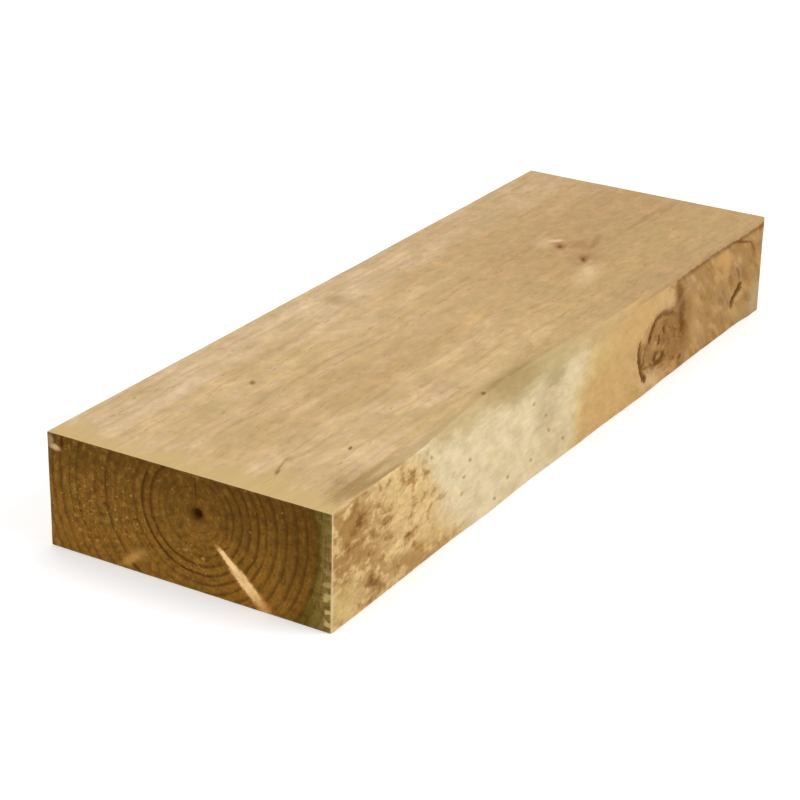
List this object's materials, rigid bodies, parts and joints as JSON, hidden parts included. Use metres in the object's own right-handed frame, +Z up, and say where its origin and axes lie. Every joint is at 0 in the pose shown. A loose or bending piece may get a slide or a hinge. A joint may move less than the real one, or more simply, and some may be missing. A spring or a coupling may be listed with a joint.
{
  "type": "railway sleeper",
  "caption": "Short sawn softwood landscaping sleeper with a boxed heart and a natural waney side bearing a branch scar, for edging, steps and raised beds.",
  "frame": {"origin": "middle of the bed, the face that the sleeper lies on", "axes": "+X across the sleeper towards its natural side, +Y along it away from the seen end, +Z up"},
  "size_m": [0.2, 0.6, 0.075],
  "materials": {
    "treated_softwood": "sawn and pressure treated, matt, with the debarked log surface on one side"
  },
  "bodies": {
    "root": {"sleeper": "treated_softwood"}
  },
  "joints": []
}
